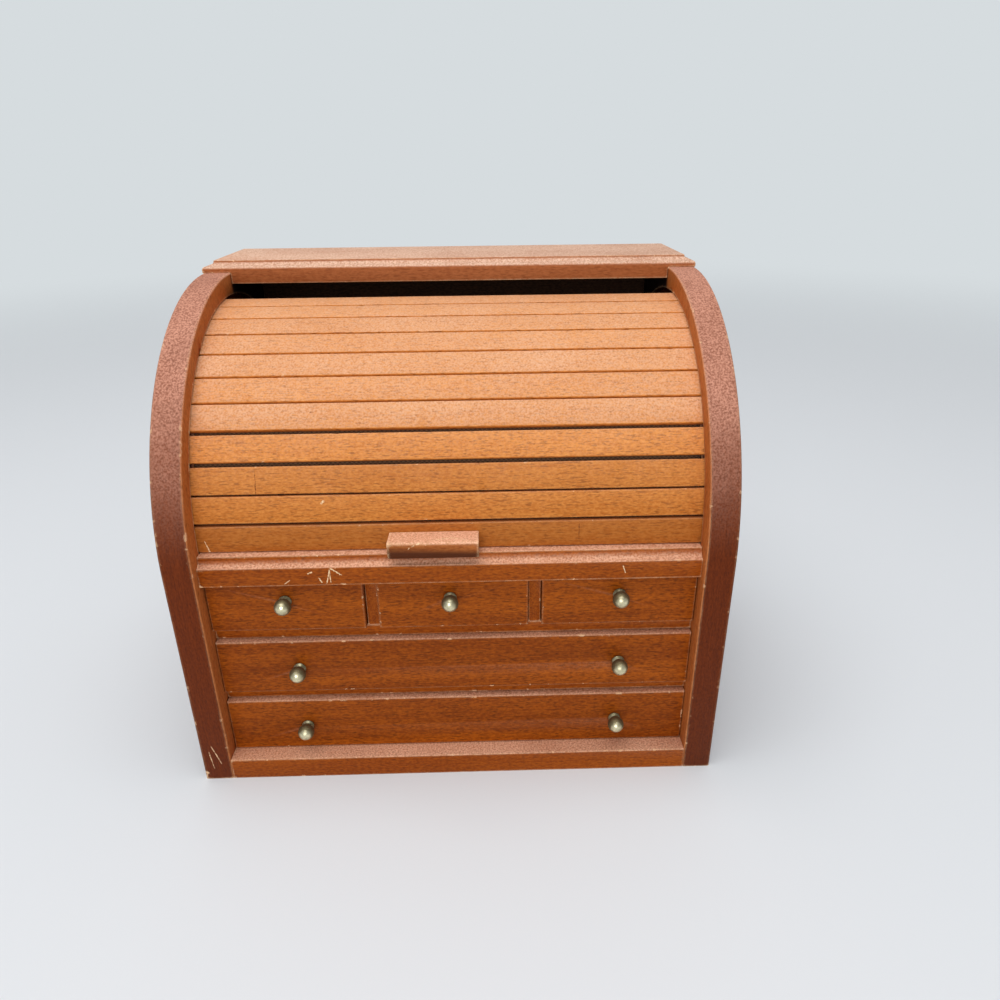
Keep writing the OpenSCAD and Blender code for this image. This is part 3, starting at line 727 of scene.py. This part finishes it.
# Pale and dark marks left by knocks: both ends on the track, and the width.
PALE_KNOCKS_MM = ((21.5, 47.5, 22.5, 48, 0.9), (-49.5, 20, -49, 20.5, 0.8),
                  (-96, 5, -94.5, 0, 0.4))
DARK_SPOTS_MM = ((-53, 55.5, -52.5, 55.5, 0.8), (18.5, 65.5, 19, 65.5, 0.7),
                 (-74.5, 32.5, -74.5, 23.5, 0.4), (50.5, 9.5, 50.5, 3, 0.4))
slat_marks = [(on_track(across, along), on_track(to_across, to_along), width, rgb)
              for marks, rgb in ((PALE_KNOCKS_MM, PALE_MARK), (DARK_SPOTS_MM, DARK_SPOT))
              for across, along, to_across, to_along, width in marks]
slat_stain = wood(
    "slat amber stain", SLAT_LIGHT, SLAT_DARK, SLAT_FLECK, banding=0.25, mottle=0.6, flecks=0.6,
    wear=0.35, chips=0.15, edge_mm=1.0, dust_rgb=SLAT_DUST_RGB, seed=53.0, own_tone=SLAT_DEEP_AND_SHADE,
    marks=slat_marks)


def slats(name, *numbers):
    """The slats of one body, as one mesh."""
    nodes = ["slat_%02d" % n for n in numbers]
    low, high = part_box(nodes[0])
    mesh = grown([middle(n) for n in nodes],
                 {"turn": [slat_turn(n) for n in nodes],
                  "tone": [SLAT_TONES_AND_SHADE[n - 1] for n in numbers],
                  "dust": [SLAT_DUST[n - 1] for n in numbers]}, SLAT_TREE,
                 {"Length": high[0] - low[0], "Width": SLAT_WIDTH, "Thickness": SLAT_THICK,
                  "Ease": SLAT_EASE, "Nicks": SLAT_NICK_M, "Rings": SLAT_RINGS,
                  "Seed": SLAT_SEED, "Material": slat_stain})
    return finish_piece(name, mesh, slat_stain, *nodes)


slats("lead_slats", *range(1, LEAD_SLATS + 1))
TAIL = range(LEAD_SLATS + 1, len(SLAT_TONES_AND_SHADE) + 1)
for number in TAIL:
    slats("tail_slat_%02d" % number, number)

# ---- pull ----
# A short length of half-round moulding glued to the lowest slat. Its flat top is dusty and
# its front edge is rubbed pale by the fingers that lift the lid. Its underside is painted dark as
# shade.

PULL_LIGHT = (192, 118, 60)
PULL_DARK = (158, 84, 36)
PULL_DUST = (240, 184, 150)
# The pull's underside is painted dark as shade.
PULL_UNDERSIDE_SHADE = (84, 40, 16)
PULL_EASE_MM = 0.4
# A faint scratch up the front and across the top: its corners, across, back and down from the
# front top left corner. It runs a quarter of a millimetre off the surface, so it stays faint.
PULL_SCRATCH_MM = ((6.5, -0.25, 3.5), (11, -0.25, 0.5), (16, 2, 0.25), (24.5, 4.5, 0.25),
                   (31.5, 1.5, 0.25))
PULL_SCRATCH_WIDTH_MM = 0.4

pull_low, pull_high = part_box("pull")
pull_corner = Vector((pull_low.x, pull_low.y, pull_high.z))
scratch_line = [pull_corner + Vector((across, back, -down)) / 1000
                for across, back, down in PULL_SCRATCH_MM]
pull_stain = wood(
    "pull stain", PULL_LIGHT, PULL_DARK, SLAT_FLECK, wear=1.0, chips=0.3, edge_mm=2.0, dust=1.0,
    dust_rgb=PULL_DUST, seed=61.0, under=PULL_UNDERSIDE_SHADE,
    marks=[(start, end, PULL_SCRATCH_WIDTH_MM, PALE_MARK)
           for start, end in zip(scratch_line, scratch_line[1:])])
dressed("pull", pull_stain, PULL_EASE_MM)

# ---- cloth and felt ----
# The cloth that joins the slats is a coarse canvas, browned by glue and age, stretched flat on
# their backs. The desk shelf behind the tambour is lined with a sheet of black felt.

CANVAS_LIGHT = (112, 84, 58)
CANVAS_DARK = (70, 48, 32)
FELT_LIGHT = (40, 40, 44)
FELT_DARK = (16, 16, 18)
THREAD_FUZZ = (1400, 1400, 1400)
CLOTH_ROUGHNESS = 0.95
CLOTH_SHEEN = 0.1
CLOTH_RELIEF_STRENGTH = 0.5
CLOTH_STEP_M = 0.003
WAVES_PER_M = 400


def cloth(name, light, dark, threads_per_m, relief_m):
    """A plain weave: two sets of threads that pass over and under each other."""
    material = bpy.data.materials.new(name)
    material.use_nodes = True
    tree = material.node_tree
    shader = tree.nodes["Principled BSDF"]
    place = node(tree, "ShaderNodeTexCoord").outputs["Object"]
    split = node(tree, "ShaderNodeSeparateXYZ", {"Vector": place})
    pitch = threads_per_m * math.pi
    across = calc(tree, "SINE", calc(tree, "MULTIPLY", split.outputs["X"], pitch))
    depth = calc(tree, "ADD", split.outputs["Y"], split.outputs["Z"])
    down = calc(tree, "SINE", calc(tree, "MULTIPLY", depth, pitch))
    weave = calc(tree, "MULTIPLY", across, down)
    fuzz = stretched(tree, place, THREAD_FUZZ, 3.0)
    height = calc(tree, "MULTIPLY_ADD", fuzz, 1.5, weave)
    tone = fade(tree, height, -0.6, 1.9)
    tree.links.new(blend_colour(tree, tone, paint(dark), paint(light)),
                   shader.inputs["Base Color"])
    shader.inputs["Roughness"].default_value = CLOTH_ROUGHNESS
    shader.inputs["Sheen Weight"].default_value = CLOTH_SHEEN
    relief = node(tree, "ShaderNodeBump",
                  {"Height": height, "Strength": CLOTH_RELIEF_STRENGTH, "Distance": relief_m})
    tree.links.new(relief.outputs[0], shader.inputs["Normal"])
    return material


def cloth_sheet(name, material, wave_m):
    """A sheet of cloth where a CAD node lies, cut fine enough to be uneven."""
    mesh = merged_copy(name)
    weave = bmesh.new()
    weave.from_mesh(mesh)
    low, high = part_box(name)
    for axis in range(3):
        across = Vector([float(i == axis) for i in range(3)])
        for cut in range(1, int((high[axis] - low[axis]) / CLOTH_STEP_M)):
            bmesh.ops.bisect_plane(
                weave, geom=weave.verts[:] + weave.edges[:] + weave.faces[:],
                plane_co=low + across * CLOTH_STEP_M * cut, plane_no=across)
    weave.normal_update()
    for vert in weave.verts:
        vert.co += vert.normal * wave_m * (noise.noise(vert.co * WAVES_PER_M) - 0.5)
    bmesh.ops.recalc_face_normals(weave, faces=weave.faces)
    weave.to_mesh(mesh)
    weave.free()
    mesh.shade_smooth()
    piece = finish_piece(name + "_cloth", mesh, material, name)


CANVAS_WAVE_M = 0.00008
FELT_WAVE_M = 0.0002
canvas_cloth = cloth("browned canvas", CANVAS_LIGHT, CANVAS_DARK, threads_per_m=1100,
                     relief_m=0.0002)
cloth_sheet("canvas_lead", canvas_cloth, CANVAS_WAVE_M)
for number in TAIL:
    cloth_sheet("canvas_%02d" % number, canvas_cloth, CANVAS_WAVE_M)
felt_cloth = cloth("black felt", FELT_LIGHT, FELT_DARK, threads_per_m=1600, relief_m=0.0001)
cloth_sheet("desk_felt", felt_cloth, FELT_WAVE_M)

# ---- drawers ----
# Three small drawers in a row and two long ones. Each has a stained and varnished front, and
# sides, back and bottom of thin unstained wood that is glued together.

FRONT_LIGHT = (174, 88, 16)
FRONT_DARK = (126, 56, 6)
FRONT_FLECK = (78, 34, 4)
FRONT_EASE_MM = 0.2
BOX_EASE_MM = 0.3

DRAWERS = ("left_drawer", "middle_drawer", "right_drawer", "upper_drawer", "lower_drawer")
front_stain = wood("drawer front stain", FRONT_LIGHT, FRONT_DARK, FRONT_FLECK, banding=0.5,
                   flecks=0.6, wear=0.5, chips=0.38, edge_mm=1.2, dust_rgb=CASE_DUST,
                   seed=71.0)
for drawer in DRAWERS:
    dressed(drawer + "_front", front_stain, FRONT_EASE_MM)
    for part in ("_sides", "_back", "_bottom"):
        dressed(drawer + part, box_wood, BOX_EASE_MM)

# ---- knobs ----
# Turned brass balls on a neck and a small collar, gone dull and grey-green with age. They are
# painted darker away from the front, a painted dark rim that stands for a reflection of darker
# surroundings, and stay bright in front. A pin behind the collar is glued into the drawer front.

KNOB_PIN = 0.005
KNOB_PIN_RADIUS = 0.0012
KNOB_BALL_RADIUS = 0.0034
KNOB_NECK_RADIUS = 0.0015
KNOB_COLLAR = 0.0007
KNOB_COLLAR_RADIUS = 0.0026
KNOB_RINGS = 90
KNOB_FACETS = 48
BRASS_LIGHT = (236, 228, 190)
BRASS_DARK = (104, 92, 62)
TO_THE_FRONT = (math.pi / 2, 0.0, 0.0)

# Painted reflection: the knobs are painted darker away from the front.
knob_brass = metal("tarnished brass with painted dark rim", BRASS_LIGHT, BRASS_DARK, rough=0.24, grime_and_rim_shade=0.9,
                   seed=83.0, painted_dark_rim=True)
for drawer in DRAWERS:
    name = drawer + ("_knobs" if drawer in ("upper_drawer", "lower_drawer") else "_knob")
    knob_boxes = solids_of(name)
    face = knob_boxes[0][1][1] - KNOB_PIN
    knobs = grown([((low[0] + high[0]) / 2, face, (low[2] + high[2]) / 2)
                   for low, high in knob_boxes], {}, TURNED_TREE,
                  {"Pin": KNOB_PIN, "Pin radius": KNOB_PIN_RADIUS,
                   "Reach": face - knob_boxes[0][0][1], "Collar": KNOB_COLLAR,
                   "Collar radius": KNOB_COLLAR_RADIUS, "Neck radius": KNOB_NECK_RADIUS,
                   "Ball radius": KNOB_BALL_RADIUS, "Rings": KNOB_RINGS,
                   "Facets": KNOB_FACETS, "Facing": TO_THE_FRONT, "Material": knob_brass})
    finish_piece(name + "_brass", knobs, knob_brass, name)

# ---- floor, backdrop and light ----
# A plain pale sheet of paper that curves up behind the box, under soft studio light. Away from
# the box the camera sees it fade into the backdrop's own colour, which no lamp changes.

FLOOR_RGB = (226, 228, 230)
BACKDROP_RGB = (214, 220, 223)
BACKDROP_FROM_TO = (0.4, 1.8)
PAPER_ROUGHNESS = 0.9
SWEEP_WIDTH = 6.0
SWEEP_FRONT = -3.0
SWEEP_BACK = 1.6
SWEEP_RADIUS = 0.8
SWEEP_HEIGHT = 3.0
SWEEP_STEPS = 16

sweep_line = [(SWEEP_FRONT, 0.0)]
for step in range(SWEEP_STEPS + 1):
    turn = math.pi / 2 * step / SWEEP_STEPS
    sweep_line.append((SWEEP_BACK + SWEEP_RADIUS * math.sin(turn),
                       SWEEP_RADIUS * (1 - math.cos(turn))))
sweep_line.append((SWEEP_BACK + SWEEP_RADIUS, SWEEP_HEIGHT))
sweep_mesh = bpy.data.meshes.new("sweep")
sweep_mesh.from_pydata(
    [(s * SWEEP_WIDTH / 2, y, z) for y, z in sweep_line for s in (-1, 1)], [],
    [(2 * i, 2 * i + 1, 2 * i + 3, 2 * i + 2) for i in range(len(sweep_line) - 1)])
sweep_mesh.shade_smooth()
sweep_paper = bpy.data.materials.new("pale paper sweep")
sweep_paper.use_nodes = True
sweep_tree = sweep_paper.node_tree
sweep_shader = sweep_tree.nodes["Principled BSDF"]
sweep_shader.inputs["Base Color"].default_value = paint(FLOOR_RGB)
sweep_shader.inputs["Roughness"].default_value = PAPER_ROUGHNESS
away = vector(sweep_tree, "LENGTH",
              node(sweep_tree, "ShaderNodeTexCoord").outputs["Object"]).outputs["Value"]
seen_away = calc(sweep_tree, "MULTIPLY",
                 node(sweep_tree, "ShaderNodeLightPath").outputs["Is Camera Ray"],
                 fade(sweep_tree, away, *BACKDROP_FROM_TO))
glow = node(sweep_tree, "ShaderNodeEmission", {"Color": paint(BACKDROP_RGB), "Strength": 1.0})
paper = node(sweep_tree, "ShaderNodeMixShader",
             {0: seen_away, 1: sweep_shader.outputs[0], 2: glow.outputs[0]})
sweep_tree.links.new(paper.outputs[0], sweep_tree.nodes["Material Output"].inputs["Surface"])
sweep_mesh.materials.append(sweep_paper)
sweep = bpy.data.objects.new("sweep", sweep_mesh)
bpy.context.scene.collection.objects.link(sweep)


def lamp(name, place, target, size, watts):
    """A soft square lamp that faces the target."""
    light = bpy.data.lights.new(name, "AREA")
    light.size = size
    light.energy = watts
    holder = bpy.data.objects.new(name, light)
    holder.location = place
    holder.rotation_euler = (Vector(target) - Vector(place)).to_track_quat("-Z", "Y").to_euler()
    bpy.context.scene.collection.objects.link(holder)


BOX_MIDDLE = (0, 0, 0.1)
ROOM_COLOUR = (0.93, 0.96, 1.0, 1)
ROOM_STRENGTH = 0.5
lamp("overhead softbox", place=(-0.15, -0.25, 1.5), target=BOX_MIDDLE, size=1.2, watts=13)
lamp("front fill", place=(-0.2, -1.6, 0.6), target=BOX_MIDDLE, size=1.0, watts=9)
world = bpy.data.worlds.new("studio")
world.use_nodes = True
world_tree = world.node_tree
room = world_tree.nodes["Background"]
room.inputs["Color"].default_value = ROOM_COLOUR
room.inputs["Strength"].default_value = ROOM_STRENGTH
beyond = node(world_tree, "ShaderNodeBackground", {"Color": paint(BACKDROP_RGB)})
sky = node(world_tree, "ShaderNodeMixShader",
           {0: node(world_tree, "ShaderNodeLightPath").outputs["Is Camera Ray"],
            1: room.outputs[0], 2: beyond.outputs[0]})
world_tree.links.new(sky.outputs[0], world_tree.nodes["World Output"].inputs["Surface"])
bpy.context.scene.world = world
bpy.context.scene.view_settings.view_transform = "Standard"

# ---- camera ----
# Where the photograph was taken from: place in metres, tilt down, turn and roll in radians,
# and focal length in widths of the frame.

CAMERA_PLACE = (0.01392, -0.32866, 0.24723)
CAMERA_TILT = 0.42832
CAMERA_TURN = -0.02108
CAMERA_ROLL = 0.01053
CAMERA_FOCAL = 0.751
SENSOR_MM = 36

camera_data = bpy.data.cameras.new("camera")
camera_data.sensor_width = SENSOR_MM
camera_data.lens = SENSOR_MM * CAMERA_FOCAL
camera = bpy.data.objects.new("camera", camera_data)
bpy.context.scene.collection.objects.link(camera)
level = Matrix.Rotation(math.pi / 2, 4, "X")
aim = (Matrix.Rotation(CAMERA_TURN, 4, "Z") @ Matrix.Rotation(-CAMERA_TILT, 4, "X")
       @ Matrix.Rotation(CAMERA_ROLL, 4, "Y"))
camera.matrix_world = Matrix.Translation(CAMERA_PLACE) @ aim @ level
bpy.context.scene.camera = camera
